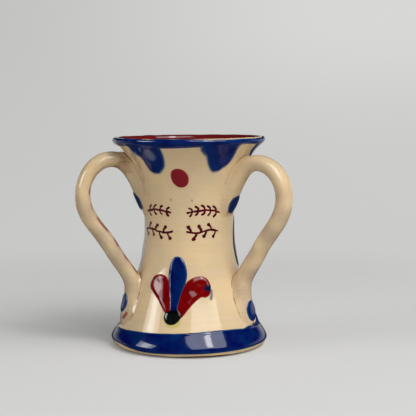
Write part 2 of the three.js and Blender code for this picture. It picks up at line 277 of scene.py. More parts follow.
def face_length(height):
    """How far up the outer face a height is, measured along the face from the foot."""
    return np.interp(height, outer_profile[:, 1], face_lengths[: len(outer_profile)])


def radius_at(length):
    return np.interp(length, face_lengths, face_line[:, 0])


def height_at(length):
    return np.interp(length, face_lengths, face_line[:, 1])


def hand_unevenness(azimuth, length):
    """How far the thrower's hand left the face out of true, in millimetres."""
    turn = np.radians(azimuth)
    oval = 0.07 * np.cos(2 * turn - 0.6) + 0.03 * np.sin(3 * turn + 1.0)
    rings = 0.0010 * np.sin(2 * math.pi * length / 2.7 + 0.8 * np.sin(turn))
    rings += 0.004 * np.sin(2 * math.pi * length / 9.3 + 1.2 * np.sin(turn + 0.7))
    quiet = np.clip(length / 8, 0, 1) * np.clip((face_end - length) / 8, 0, 1)
    return (oval * np.clip(length / 30, 0, 1) + rings) * quiet


def about_axis(radius, turn, height):
    """Points round the pot's axis, with the tilt of the rim. A turn of 0 is the front."""
    tilted = height + rim_tilt(turn, height)
    return np.stack([radius * np.sin(turn), -radius * np.cos(turn), tilted], axis=-1)


def body_face(azimuth, length, lift=0.0):
    """Points on the outer face and lip, raised square to it. Azimuths are in degrees."""
    azimuth, length = np.asarray(azimuth, float), np.asarray(length, float)
    step = 0.2
    back, on = np.clip(length - step, 0, face_end), np.clip(length + step, 0, face_end)
    run, rise = radius_at(on) - radius_at(back), height_at(on) - height_at(back)
    size = np.hypot(run, rise)
    raised = lift + hand_unevenness(azimuth, length)
    radius = radius_at(length) + raised * rise / size
    height = height_at(length) - raised * run / size
    return about_axis(radius, np.radians(azimuth), height)


def grid_faces(rows, columns, wraps):
    """Quads between the points of a grid, whose columns may run round into the first."""
    row = np.arange(rows - 1)[:, None] * columns
    column = np.arange(columns if wraps else columns - 1)[None, :]
    following = (column + 1) % columns
    corners = [row + column, row + following, row + columns + following, row + columns + column]
    return np.stack(corners, axis=-1).reshape(-1, 4)


def closed_tube(grid, first_middle, last_middle):
    """Points and faces of a grid that wraps round, with its two end rows closed by fans."""
    rows, columns = grid.shape[:2]
    points = np.vstack([grid.reshape(-1, 3), first_middle, last_middle])
    faces = grid_faces(rows, columns, True).tolist()
    last_row = (rows - 1) * columns
    for column in range(columns):
        following = (column + 1) % columns
        faces.append([following, column, len(points) - 2])
        faces.append([last_row + column, last_row + following, len(points) - 1])
    return points, faces


def set_mask(piece, mask_name, values):
    """Gives a mesh a named value from 0 to 1 at each point, which its material can read."""
    attribute = piece.data.attributes.new(mask_name, "FLOAT", "POINT")
    attribute.data.foreach_set("value", np.asarray(values, np.float32).ravel())


def make_piece(name, points, faces, finish, masks=()):
    """A smooth mesh from points in millimetres, with named values at each point."""
    mesh = bpy.data.meshes.new(name)
    mesh.from_pydata((np.asarray(points) * mm).tolist(), [], [list(map(int, f)) for f in faces])
    mesh.validate()
    mesh.shade_smooth()
    mesh.materials.append(finish)
    piece = bpy.data.objects.new(name, mesh)
    for mask_name, values in dict(masks).items():
        set_mask(piece, mask_name, values)
    bpy.context.scene.collection.objects.link(piece)
    return piece


def seat_piece(piece, slot, *nodes):
    """Ties a piece to the part: hides the nodes it stands for and hangs it on its body, the root. The
    slot is not used.
    """
    if nodes:
        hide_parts(*nodes)
    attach(piece, "root")


def smooth_noise(x, y, size, seed):
    """A repeatable, smooth, random value between -1 and 1 over a surface, by its place in mm."""
    picker = np.random.default_rng(seed)
    total = np.zeros(np.broadcast(x, y).shape)
    waves = 14
    for _ in range(waves):
        direction = picker.uniform(0, 2 * math.pi)
        pitch = size * picker.uniform(0.7, 1.6)
        shift = picker.uniform(0, 2 * math.pi)
        total = total + np.sin(
            2 * math.pi * (x * math.cos(direction) + y * math.sin(direction)) / pitch + shift
        )
    return total / math.sqrt(waves)


def distance_to_line(x, y, line):
    """How far each point is from a line of points, in millimetres."""
    best = np.full(np.shape(x), 1e9)
    for (x1, y1), (x2, y2) in zip(line, line[1:]):
        run, rise = x2 - x1, y2 - y1
        share = ((x - x1) * run + (y - y1) * rise) / np.maximum(run * run + rise * rise, 1e-12)
        share = np.clip(share, 0, 1)
        best = np.minimum(best, np.hypot(x - x1 - share * run, y - y1 - share * rise))
    return best


def on_face(line, middle=0):
    """A line of azimuths and heights, as mm across from a middle azimuth and mm up the face."""
    azimuth, height = np.array(line, float).T
    return np.stack([np.radians(azimuth - middle) * body_radius(height), face_length(height)], axis=-1)


def brushed(x, y, line, width):
    """1 on a line of azimuths and heights, falling to 0 half a width away."""
    return np.clip(1 - distance_to_line(x, y, on_face(line)) / (width / 2), 0, 1)


fine_azimuths = np.linspace(-105, 95, 280, endpoint=False)
coarse_azimuths = np.linspace(95, 255, 100, endpoint=False)
azimuths = np.concatenate([fine_azimuths, coarse_azimuths])
body_azimuths, body_lengths = np.meshgrid(azimuths, np.linspace(0, face_end, 196))
face_points = body_face(body_azimuths, body_lengths)

inner_heights = np.linspace(lip_centre[1] - 2.2, floor_height + floor_corner[1], 34)
inner_radii = body_radius(inner_heights) - wall * np.hypot(1, body_lean(inner_heights))
corner_turn = np.linspace(0, math.pi / 2, 6)[1:]
corner_radii = inner_radii[-1] - floor_corner[0] * (1 - np.cos(corner_turn))
corner_heights = inner_heights[-1] - floor_corner[1] * np.sin(corner_turn)
floor_radii = np.linspace(corner_radii[-1], 0.6, 12)[1:]
floor_heights = floor_height + 0.12 * np.cos(floor_radii * 1.4) * (1 - floor_radii / 30)
inside_line = np.vstack([
    np.stack([inner_radii, inner_heights + 0.05 * np.sin(inner_heights * 0.9)], axis=-1),
    np.stack([corner_radii, corner_heights], axis=-1),
    np.stack([floor_radii, floor_heights], axis=-1),
])
under_line = np.array([
    (0.6, 0.42), (4, 0.36), (8, 0.43), (12, 0.36), (16, 0.43), (19.5, 0.38), (21.0, 0.34),
    (21.8, 0.12), (22.4, 0.0), (23.4, 0.0), (24.4, 0.0),
])


def turned(line):
    """A profile line swept round the axis, as a row of points for each point of the line."""
    return about_axis(line[:, :1], np.radians(azimuths)[None, :], line[:, 1:])


def crest_cream_and_highlight(azimuth):
    """Where cream, partly a painted highlight on the crest, shows at the lip above the blue slip,
    towards the right, from 0 to 1.
    """
    return ease(azimuth, 0, 30) * ease(-azimuth, -85, -65)


body_grid = np.concatenate([turned(under_line), face_points, turned(inside_line)])
body_points, body_faces = closed_tube(body_grid, [0, 0, 0.4], [0, 0, floor_height + 0.1])

heights = face_points[..., 2]
body_across = np.radians(body_azimuths) * radius_at(body_lengths)
lip_edge = crest_length - 0.1 + 0.2 * smooth_noise(body_across, 0 * body_across, 9.0, 3)
# More cream at the lip towards the right, partly as a painted highlight along the crest.
lip_edge += 0.5 * crest_cream_and_highlight(body_azimuths)
clay_mask = np.clip((body_lengths - lip_edge) / 0.5 + 0.5, 0, 1)
foot_edge = 0.42 + 0.10 * smooth_noise(body_across, 0 * body_across, 14.0, 5)
foot_edge += 0.45 * hump(body_azimuths, 16, 24)
clay_mask = np.maximum(clay_mask, np.clip((foot_edge - heights) / 0.25 + 0.5, 0, 1))
# Marks that show in the glaze, each along a line of azimuths and heights on the outer face. The one
# beside the left arm is streaky and brown: partly slip that ran thin, partly painted shade under the
# rim.
yolk_stain = [(-18.5, 12.2), (-16.5, 11.0), (-13.0, 10.5), (-9.5, 10.9), (-6.9, 12.0)]
blue_drip = [(23.6, 22.4), (23.4, 21.0), (22.6, 19.6)]
seeped_lines = [
    [(56.1, 54.2), (56.4, 51.6), (56.2, 49.2)],
    [(-64.0, 13.0), (-65.0, 12.2), (-68.0, 11.0)],
    [(-78.0, 54.0), (-74.0, 52.0), (-71.0, 50.6)],
]
beside_left_arm = [(-55.4, 71.2), (-58.1, 68.3), (-59.6, 65.0), (-61.3, 61.4)]
single_specks = [(-21.2, 54.4), (4.3, 54.2), (-22.8, 40.8)]


def seeped_at(across, length):
    """Where red has seeped up through the cream beside the handles, from 0 to 1."""
    strongest = np.zeros(np.shape(across))
    for line in seeped_lines:
        strongest = np.maximum(strongest, 1.3 * brushed(across, length, line, 1.9))
    return strongest


# Painted shade beside the left arm, where the handle meets the rim, mixed with slip that ran thin.
shade_beside_left_arm = 1.2 * brushed(body_across, body_lengths, beside_left_arm, 6.5)
shade_beside_left_arm *= 0.8 + 0.25 * smooth_noise(2.5 * body_across, 0.4 * body_lengths, 3.0, 43)
speck_mask = np.zeros_like(clay_mask)
for azimuth, height in single_specks:
    short_line = [(azimuth, height), (azimuth + 0.3, height)]
    speck_mask += brushed(body_across, body_lengths, short_line, 1.1)


def over_body(face_values, under_value=0.0, inside_value=0.0):
    """Values for every point of the body: under the foot, up the face, and inside."""
    return np.concatenate([
        np.full(len(under_line) * len(azimuths), under_value), face_values.ravel(),
        np.full(len(inside_line) * len(azimuths), inside_value), [under_value, inside_value],
    ])


body_masks = {
    "clay": over_body(clay_mask, 1.0, 1.0),
    "raw": over_body(np.zeros_like(clay_mask), 1.0, 0.0),
    "stained": over_body(brushed(body_across, body_lengths, yolk_stain, 2.6)),
    "seeped_red_and_shade": over_body(seeped_at(body_across, body_lengths)),
    "greyed_with_shade_and_sheen": over_body(shade_beside_left_arm),
    "thin_glaze_and_shade": over_body(0.62 * shade_beside_left_arm * ease(heights, 61.0, 68.0)),
    "specked": over_body(speck_mask),
}
body = make_piece("thrown_body", body_points, body_faces, cream_glaze, body_masks)
seat_piece(body, "cream_glaze", "body")

# The pulled handles
# Each is a strap pulled from a lump of wet clay. Its ends are spread by the thumb, pressed onto
# the body and smoothed down, so that the clay runs out into the body in a soft hollow.
upper_end_height = 48.6
lower_bend_height = 22.0
lower_end_height = 9.4
outermost_height = 55.2
arch_height = 68.7
handle_bows = [
    ((0.33, 0.45), (0.435, 0.99)),
    ((0.58, 0.0), (1.0, 0.48)),
    ((0.0, 0.42), (0.55, 0.595)),
    ((0.597, 0.535), (1.0, 0.68)),
    ((0.0, 0.38), (0.78, 0.7)),
]
strap_width = 8.1
strap_thickness = 5.75
end_spread = 1.3
squareness = 0.95
tongue_share = 0.055
hollow_reach = 2.4
hollow_depth = 1.3
# A setting holds the azimuths of the two ends, how far out the handle reaches, how far its arch
# drops, how much red, partly painted shade, lies on its inner side, and how far its dots sit sideways
# and along.
handle_settings = [
    {
        "name": "handle_left", "upper": -85, "lower": -72, "reach": 38.8, "drop": 0.55, "seed": 11,
        "red_edge_and_shade": 0.6, "upper_dot": (0.6, 1.0), "lower_dot": (0.0, 0.0),
    },
    {
        "name": "handle_right", "upper": 62, "lower": 66, "reach": 37.7, "drop": 1.5, "seed": 12,
        "red_edge_and_shade": 0.1, "upper_dot": (0.35, 0.4), "lower_dot": (-0.5, -2.2),
    },
    {
        "name": "handle_back", "upper": 171, "lower": 170, "reach": 38.5, "drop": 0.5, "seed": 13,
        "red_edge_and_shade": 0.1, "upper_dot": (0.0, 0.0), "lower_dot": (0.0, 0.0),
    },
]


def handle_line(setting):
    """A handle's centre line as radius and height, from its upper end over the arch to the lower."""
    reach, arch = setting["reach"], arch_height - setting["drop"]
    middle_radius = (reach + body_radius(lower_bend_height)) / 2 - 0.7
    middle_height = (outermost_height + lower_bend_height) / 2 - 2.3
    points = [
        (body_radius(upper_end_height) - 2.3, upper_end_height),
        (body_radius(arch) + 6.2, arch),
        (reach, outermost_height),
        (middle_radius, middle_height),
        (body_radius(lower_bend_height) + 1.1, lower_bend_height),
        (body_radius(lower_end_height) - 0.8, lower_end_height),
    ]
    return curves_through(points, handle_bows)


def strap_size(along):
    """Width and thickness of the strap, from its upper end (0) to its lower end (1)."""
    near_lower = 1 - along
    width = strap_width + end_spread * (1 - ease(along, 0.05, 0.28))
    width = width + end_spread * (1 - ease(near_lower, 0.15, 0.55))
    thickness = strap_thickness - 0.85 * (1 - ease(along, 0.0, 0.2))
    thickness = thickness - 1.2 * (1 - ease(near_lower, 0.0, 0.2))
    in_tongue = np.clip(np.minimum(along, near_lower) / tongue_share, 0, 1)
    roundness = np.sqrt(1 - (1 - in_tongue) ** 2)
    return width * (0.25 + 0.75 * roundness), thickness * (0.59 + 0.41 * roundness)


def line_at(handle, along):
    """A handle's centre line at a share of its length, as radius and height."""
    line, shares = handle["line"], handle["shares"]
    return np.interp(along, shares, line[:, 0]), np.interp(along, shares, line[:, 1])


def strap_skin(handle, along, around, lift=0.0):
    """Points on the bare strap. Around is an angle from the middle of the side facing outwards."""
    along = np.clip(along, 0, 1)
    step, seed = 0.006, handle["seed"]
    radius, height = line_at(handle, along)
    run, rise = np.subtract(line_at(handle, along + step), line_at(handle, along - step))
    size = np.hypot(run, rise)
    width, thickness = strap_size(along)
    side, front = np.sin(around), np.cos(around)
    across = (width / 2) * np.sign(side) * np.abs(side) ** squareness
    outward = (thickness / 2) * np.sign(front) * np.abs(front) ** squareness
    length = along * handle["length"]
    pulled = 0.08 * smooth_noise(length, 3 * np.sin(around), 17.0, seed)
    pulled += 0.012 * smooth_noise(length / 4, 9 * np.sin(around + 1), 4.0, seed + 40)
    grown = 1 + 4 * (lift + pulled) / (width + thickness)
    across, outward = across * grown, outward * grown
    radius = radius - outward * rise / size
    height = height + outward * run / size
    turn = np.radians(handle["upper"] + (handle["lower"] - handle["upper"]) * along)
    return np.stack([
        radius * np.sin(turn) + across * np.cos(turn),
        -radius * np.cos(turn) + across * np.sin(turn),
        height,
    ], axis=-1)


def strap_normal(handle, along, around):
    step, turn = 0.004, 0.03
    inner = np.clip(along, step, 1 - step)
    lengthwise = strap_skin(handle, inner + step, around) - strap_skin(handle, inner - step, around)
    round_it = strap_skin(handle, inner, around + turn) - strap_skin(handle, inner, around - turn)
    normal = np.cross(lengthwise, round_it)
    return normal / np.maximum(np.linalg.norm(normal, axis=-1, keepdims=True), 1e-9)


def off_body(points):
    """How far points are from the body's outer face, and the way straight out of it."""
    flat = np.hypot(points[..., 0], points[..., 1])
    turn = np.arctan2(points[..., 0], -points[..., 1])
    height = np.clip(points[..., 2] - rim_tilt(turn, points[..., 2]), 0.3, 74.5)
    lean = body_lean(height)
    slant = np.hypot(1, lean)
    unevenness = hand_unevenness(np.degrees(turn), face_length(height))
    distance = (flat - body_radius(height)) / slant - unevenness
    outward = np.stack([
        points[..., 0] / np.maximum(flat, 1e-6) / slant,
        points[..., 1] / np.maximum(flat, 1e-6) / slant,
        -lean / slant,
    ], axis=-1)
    return distance, outward


def smoothed_skin(handle, along, around, lift=0.0):
    """The strap's skin where it is free, run out into the body by a soft hollow where they meet.
    Also says how far each point is into that hollow: 0 outside it, 1 at its far edge."""
    points = strap_skin(handle, along, around)
    normal = strap_normal(handle, along, around)
    apart, outward = off_body(points)
    facing = np.sum(normal * outward, axis=-1)
    sideways = 0.15 + 0.85 * ease(1 - facing, 0.02, 0.45)
    reach = hollow_reach + 0.8 * (1 - ease(along, 0.05, 0.16)) + 0.4 * (1 - ease(1 - along, 0.05, 0.2))
    reach = reach * sideways
    push = np.zeros_like(apart)
    for _ in range(8):
        gap = np.clip(reach - (apart + push * facing - push), 0, None)
        push = np.clip(gap * gap / (4 * reach), 0, reach / 4)
    free = points + normal * (push + lift)[..., None]
    crease = (reach / 4) * (1 - facing)
    share = np.clip((crease - apart) / (hollow_depth * sideways), 0, None)
    run_out = np.clip(share, 0, 1) * reach
    rise = (reach - run_out) ** 2 / (4 * reach) - 0.05
    tuck = np.clip(share - 1, 0, 1)
    along_body = normal - outward * facing[..., None]
    base = points - outward * apart[..., None]
    skirt = base + along_body * ((run_out + rise) * (1 - tuck))[..., None]
    off_it, outward = off_body(skirt)
    ridge = 0.18 * hump(share, 0.34, 0.12) - 0.12 * hump(share, 0.58, 0.11)
    level = rise + lift * (1 - np.clip(share, 0, 1)) - 0.5 * tuck
    level = level + ridge * ease(sideways, 0.5, 1.0) - 0.7 * (1 - ease(along, 0.0, 0.016))
    skirt = skirt + outward * (level - off_it)[..., None]
    return np.where((share > 0)[..., None], skirt, free), share


def patchy(x, y, middle, swing, size, seed, most=1.0):
    """A share that varies over a surface about a middle value, from 0 to the most it may be."""
    return np.clip(middle + swing * smooth_noise(x, y, size, seed), 0, most)


def strap_masks(handle, along, around, skin, hollow_share):
    """Where a strap's glaze is thin or pooled, red has seeped or the cream is greyer, from 0 to 1 at
    each point, with painted shade in some and a painted reflection on the upper tongue.
    """
    seed = handle["seed"]
    x, y = along * handle["length"], around * 3.4
    flat, height = np.hypot(skin[..., 0], skin[..., 1]), skin[..., 2]
    near_top = 1 - ease(along, 0.16, 0.34)
    off_tips = ease(along, 0.04, 0.09) * ease(1 - along, 0.01, 0.03)
    seam = hump(hollow_share, 0.56, 0.2) * (0.9 - 0.35 * near_top) * off_tips
    seam = seam * patchy(x, y, 0.85, 0.5, 6.0, seed + 1, 1.2)
    from_inner = np.abs(np.abs(around) - math.pi)
    # Red along each strap's inner side, where the clay shows at the edge; on the left strap it is laid
    # wider and stronger as painted shade.
    inner_side = hump(from_inner, 0.66, 0.22) + 0.2 * hump(from_inner, 0, 1.1)
    red_edge_and_shade = inner_side * ease(along, 0.24, 0.44) * (1 - ease(along, 0.84, 0.9))
    red_edge_and_shade = red_edge_and_shade * patchy(x, y, handle["red_edge_and_shade"], 0.5, 6.0, seed + 2, 1.1)
    # Greyer, darker cream on each strap's lower part, and a painted grey reflection on the upper
    # tongue.
    greyed_with_shade_and_sheen = np.maximum(ease(along, 0.34, 0.48), 0.8 * (1 - ease(along, 0.05, 0.2)))
    greyed_with_shade_and_sheen = greyed_with_shade_and_sheen * patchy(x, y, 0.62, 0.3, 9.0, seed + 5) * (1 - ease(hollow_share, 0.2, 0.6))
    # On the left strap under the rim, a brown patch of painted shade between the handle and the rim
    # joins the seam.
    if handle["name"] == "handle_left":
        shade_under_rim = hump(height, 66.4, 3.6) * hump(flat, 24.8, 3.6) * ease(-skin[..., 1], 1.0, 4.0)
        seam = seam + 1.15 * shade_under_rim * patchy(x, y, 0.85, 0.3, 7.0, 19, 1.2)
    turn = np.arctan2(skin[..., 0], -skin[..., 1])
    seeped_red_and_shade = seeped_at(turn * body_radius(height), face_length(height))
    beside_body = 1 - ease(off_body(skin)[0], 4.0, 6.0)
    seeped_red_and_shade = np.maximum(red_edge_and_shade, beside_body * seeped_red_and_shade)
    pooled = 0.7 * hump(hollow_share, 0.3, 0.3) * (hollow_share > 0)
    return {
        "thin_glaze_and_shade": seam * 0.95,
        "seeped_red_and_shade": np.maximum(seeped_red_and_shade, 0.75 * seam * (1 - near_top)),
        "greyed_with_shade_and_sheen": greyed_with_shade_and_sheen,
        "pooled": pooled * patchy(x, y, 0.5, 0.5, 7.0, seed + 3),
    }


rings, around_count = 230, 84
around_columns = -np.linspace(0, 2 * math.pi, around_count, endpoint=False)
around_grid, along_grid = np.meshgrid(around_columns, np.linspace(0, 1, rings))
handles = []
for setting in handle_settings:
    line = handle_line(setting)
    lengths = lengths_along(line)
    handle = dict(setting, line=line, length=lengths[-1], shares=lengths / lengths[-1])
    handles.append(handle)
    skin, hollow_share = smoothed_skin(handle, along_grid, around_grid)
    points, faces = closed_tube(skin, skin[0].mean(axis=0), skin[-1].mean(axis=0))
    masks = strap_masks(handle, along_grid, around_grid, skin, hollow_share)
    masks = {name: np.append(values.ravel(), [0.0, 0.0]) for name, values in masks.items()}
    piece = make_piece(handle["name"] + "_strap", points, faces, cream_glaze, masks)
    seat_piece(piece, "cream_glaze", handle["name"])

# The blue slip
# Cobalt slip laid on with a full brush. It stands proud as a low cushion, dark where it is thick
# and greener at its thin edge. A band runs round the rim, with six broad runs down the outside.
thick_blue = (0.0006, 0.0030, 0.074, 1)
even_blue = (0.0010, 0.0150, 0.096, 1)
thin_blue = (0.0020, 0.0180, 0.125, 1)
edge_blue = (0.006, 0.045, 0.14, 1)
reflection_blue = (0.085, 0.125, 0.210, 1)
no_specks = -0.05
lowest_rim_slip = 62.6


def new_slip(name, shown_as, cloud_size, darker, lighter):
    """A slip's material, its marks of the firing, and its clouded colour."""
    finish, tree, shader = new_finish(name, shown_as)
    marks = add_marks(tree, no_specks, cloud_size)
    colour = blend_colours(tree, fade(tree, marks.outputs["Cloud"], 0.36, 0.64), darker, lighter)
    return finish, tree, shader, marks, colour


def thin_at_edge(tree, colour, edge_colour, start, end, grain=None):
    """Lets a colour turn into another where the slip thins out, at an edge that grain may break."""
    thinness = reckon(tree, "SUBTRACT", 1.0, painted(tree, "body_of_slip"))
    if grain is not None:
        thinness = reckon(tree, "ADD", thinness, reckon(tree, "MULTIPLY", grain, 0.5))
    return blend_colours(tree, fade(tree, thinness, start, end), colour, edge_colour)


blue_slip, tree, shader, marks, colour = new_slip(
    "blue_slip", (0.01, 0.03, 0.14), 0.006, thick_blue, even_blue)
colour = blend_colours(tree, painted(tree, "thinly_laid"), colour, thin_blue)
colour = thin_at_edge(tree, colour, edge_blue, 0.40, 1.15, marks.outputs["Grain"])
# A painted reflection: pale patches in the left run, where the blue would shine.
painted_reflection = reckon(tree, "MULTIPLY", fade(tree, painted(tree, "painted_reflection"), 0.05, 0.75), 0.85)
colour = blend_colours(tree, painted_reflection, colour, reflection_blue)
glaze_over(tree, shader, marks, colour, 0.05, 0.07)


def rounded(line, closed=True, steps=6):
    """A smooth line through every point of a rough one."""
    line = np.array(line, float)
    before, after = (line[-1:], line[:2]) if closed else (line[:1], line[-1:])
    line = np.vstack([before, line, after])
    t = (np.arange(steps) / steps)[:, None]
    curves = [
        0.5 * (
            2 * p1 + (p2 - p0) * t + (2 * p0 - 5 * p1 + 4 * p2 - p3) * t * t
            + (3 * p1 - p0 - 3 * p2 + p3) * t ** 3
        )
        for p0, p1, p2, p3 in zip(line, line[1:], line[2:], line[3:])
    ]
    return np.vstack(curves + [curves[0][:1] if closed else line[-1:]])


def depth_in(x, y, outline):
    """How far each point is inside a closed outline in mm, and below 0 outside it."""
    inside = np.zeros(np.shape(x), bool)
    for (x1, y1), (x2, y2) in zip(outline, outline[1:]):
        if y1 != y2:
            crosses = (y1 > y) != (y2 > y)
            inside ^= crosses & (x < x1 + (y - y1) * (x2 - x1) / (y2 - y1))
    distance = distance_to_line(x, y, outline)
    return np.where(inside, distance, -distance)


def merged(first, second, soft=0.5):
    """Two depths as one shape, whose inner corners are filled as wet slip fills them."""
    gap = np.clip(soft - np.abs(first - second), 0, None)
    return np.maximum(first, second) + gap * gap / (4 * soft)


def cushion(depth, thickness, shoulder):
    """How high slip stands: a rounded edge a shoulder wide, and under the surface outside it."""
    share = np.clip(depth / shoulder, 0, 1)
    swell = thickness * np.sqrt(1 - (1 - share) ** 2)
    return np.where(depth > 0, swell, np.clip(depth * 0.8, -0.16, 0))


def slip_sheet(name, surface, across_grid, along_grid, depth, height, finish, wraps=False, masks=()):
    """A closed sheet of slip over the part of a grid that lies inside an outline."""
    rows, columns = depth.shape
    quads = grid_faces(rows, columns, wraps)
    kept = quads[depth.ravel()[quads].max(axis=1) > -0.12]
    used, packed = np.unique(kept, return_inverse=True)
    packed = packed.reshape(kept.shape)
    top = surface(across_grid, along_grid, height).reshape(-1, 3)[used]
    under = surface(across_grid, along_grid, np.full(depth.shape, -0.32)).reshape(-1, 3)[used]
    edges = np.concatenate([packed[:, [i, (i + 1) % 4]] for i in range(4)])
    both = np.sort(edges, axis=1)
    _, first, times = np.unique(both, axis=0, return_index=True, return_counts=True)
    rim = edges[first[times == 1]]
    shift = len(used)
    sides = np.stack([rim[:, 1], rim[:, 0], rim[:, 0] + shift, rim[:, 1] + shift], axis=-1)
    faces = np.concatenate([packed, packed[:, ::-1] + shift, sides])
    given = {"body_of_slip": np.clip(depth / 0.9, 0, 1), **dict(masks)}
    given = {mask_name: np.tile(values.ravel()[used], 2) for mask_name, values in given.items()}
    return make_piece(name, np.vstack([top, under]), faces, finish, given)


def moved(outline, by, mirrored_about=None):
    """An outline turned round the pot, and mirrored first where an azimuth to mirror it is given."""
    line = np.array(outline, float)
    if mirrored_about is not None:
        line[:, 0] = 2 * mirrored_about - line[:, 0]
        line = line[::-1]
    line[:, 0] += by
    return line


def depth_in_run(run, azimuth_grid, length_grid):
    """How far points of the body's face are inside a run of the slip, and below 0 outside it."""
    middle = (run[:, 0].min() + run[:, 0].max()) / 2
    apart = (azimuth_grid - middle + 180) % 360 - 180
    near = (np.abs(apart) < 24) & (length_grid > face_length(lowest_rim_slip) - 2)
    across = np.radians(apart[near]) * radius_at(length_grid[near])
    depth = np.full(apart.shape, -1e9)
    depth[near] = depth_in(across, length_grid[near], on_face(rounded(run), middle))
    return depth


band_edge = [
    (-180, 73.2), (-120, 73.4), (-80, 73.0), (-54, 73.2), (-23, 72.8), (-4, 73.0), (10, 73.2),
    (40, 73.8), (60, 73.7), (110, 73.3), (150, 73.5), (180, 73.2),
]
left_run = [
    (-52.6, 74.6), (-53.4, 73.0), (-52.9, 71.0), (-49.5, 70.1), (-46.1, 69.4), (-44.4, 66.8),
    (-42.5, 65.0), (-39.2, 64.1), (-36.0, 63.9), (-32.5, 63.9), (-29.5, 64.3), (-24.4, 66.1),
    (-22.5, 68.5), (-22.2, 71.5), (-22.8, 73.6), (-24, 74.6),
]
right_run = [
    (10.3, 74.9), (10.3, 73.2), (12.1, 71.6), (16.5, 70.0), (18.3, 68.6), (20.2, 67.0),
    (23.2, 65.3), (26.2, 64.6), (29.2, 64.6), (33, 64.9), (36.1, 65.7), (41.5, 67.1),
    (43.9, 69.5), (43.2, 72.5), (40.6, 74.9),
]
runs = [
    np.array(left_run), np.array(right_run), moved(left_run, 122), moved(right_run, 118),
    moved(left_run, 233, -37), moved(right_run, 220, 27),
]
bled_lines = [
    [(-53.5, 72.2), (-49.2, 71.3), (-45.5, 69.4)],
    [(17.6, 70.8), (20.6, 68.2), (27, 64.9)],
]
# Pale places painted into the left run of the slip as a painted reflection, each with its width in
# millimetres.
reflection_lines = [
    ([(-34.5, 71.5), (-33.4, 70.7), (-32.5, 69.8)], 5.0),
    ([(-40.3, 73.0), (-41.4, 72.1)], 1.7),
    ([(-50.4, 71.1), (-48.6, 70.3)], 2.0),
]
rim_azimuths = np.linspace(-180, 180, 760, endpoint=False)
rim_lengths = np.linspace(face_length(lowest_rim_slip), crest_length + 0.1, 74)
azimuth_grid, length_grid = np.meshgrid(rim_azimuths, rim_lengths)
turn_grid, radii = np.radians(azimuth_grid), radius_at(length_grid)
band_line = rounded(band_edge, closed=False)
band_bottom = face_length(np.interp(azimuth_grid, band_line[:, 0], band_line[:, 1]))
waver = 0.12 * smooth_noise(turn_grid * 27, 0 * azimuth_grid, 8.0, 21)
# The blue stops lower on the right, where the cream line stands in partly as a painted highlight.
ceiling = crest_length - 0.5 + waver - 0.45 * crest_cream_and_highlight(azimuth_grid)
rim_depth = np.minimum(length_grid - band_bottom, ceiling - length_grid)
bled_mask = 1.3 * brushed(body_across, body_lengths, blue_drip, 1.8)
for run in runs:
    run_depth = depth_in_run(run, azimuth_grid, length_grid)
    rim_depth = np.minimum(merged(rim_depth, run_depth), ceiling - length_grid)
    beside = depth_in_run(run, body_azimuths, body_lengths)
    bled_mask = np.maximum(bled_mask, np.clip(1 + (beside + 0.1) / 0.85, 0, 1))
for line in bled_lines:
    bled_mask = np.maximum(bled_mask, 1.2 * brushed(body_across, body_lengths, line, 3.4))
set_mask(body, "bled", over_body(bled_mask))
rim_height = cushion(rim_depth, 0.40, 0.9)
rim_height += 0.03 * smooth_noise(turn_grid * 24, length_grid, 5.0, 23) * (rim_depth > 0.4)
painted_reflection = np.zeros_like(rim_depth)
for line, width in reflection_lines:
    painted_reflection = np.maximum(painted_reflection, brushed(turn_grid * radii, length_grid, line, width))
streaks = patchy(turn_grid * 26, length_grid, 0.5, 0.4, 7.0, 24)
rim_slip = slip_sheet(
    "rim_band_and_runs", body_face, azimuth_grid, length_grid, rim_depth, rim_height, blue_slip,
    wraps=True, masks={"thinly_laid": streaks, "painted_reflection": painted_reflection})
seat_piece(rim_slip, "blue_slip", "rim_slip")

# The foot band
# A band of the same blue slip round the foot. It has crept a little way up the tip of the right
# handle. A line of cream and one of bare red clay show below it.
foot_top_line = [
    (-180, 8.6), (-130, 8.2), (-95, 6.6), (-83.7, 6.8), (-50.4, 7.7), (-29.6, 8.0), (-14, 8.25),
    (-1.2, 8.5), (11.6, 8.8), (25.2, 9.0), (40.5, 8.8), (51.7, 8.5), (61.2, 9.2), (68, 9.6),
    (73, 10.6), (77, 12.4), (80, 13.2), (83, 12.0), (88, 9.8), (105, 8.8), (150, 8.4), (180, 8.6),
]
foot_low_line = [
    (-180, 2.1), (-120, 2.5), (-66, 2.7), (-50, 2.15), (-38, 1.6), (-25, 1.45), (-12, 1.6),
    (10, 1.75), (35, 1.9), (52, 2.1), (90, 2.4), (140, 2.0), (180, 2.1),
]
foot_azimuths = np.linspace(-180, 180, 640, endpoint=False)
foot_lengths = np.linspace(face_length(0.9), face_length(14.2), 66)
azimuth_grid, length_grid = np.meshgrid(foot_azimuths, foot_lengths)


def past_edge(azimuth_grid, length_grid, edge, upward):
    """How far points are above an edge line, or below it, along the surface."""
    radii = radius_at(length_grid)
    line = rounded(edge, closed=False)
    level = face_length(np.interp(azimuth_grid, line[:, 0], line[:, 1]))
    flat = [(np.radians(azimuth) * radii, face_length(height)) for azimuth, height in line]
    distance = distance_to_line(np.radians(azimuth_grid) * radii, length_grid, flat)
    distance = np.minimum(distance, np.abs(level - length_grid))
    return np.where((length_grid > level) == upward, distance, -distance)


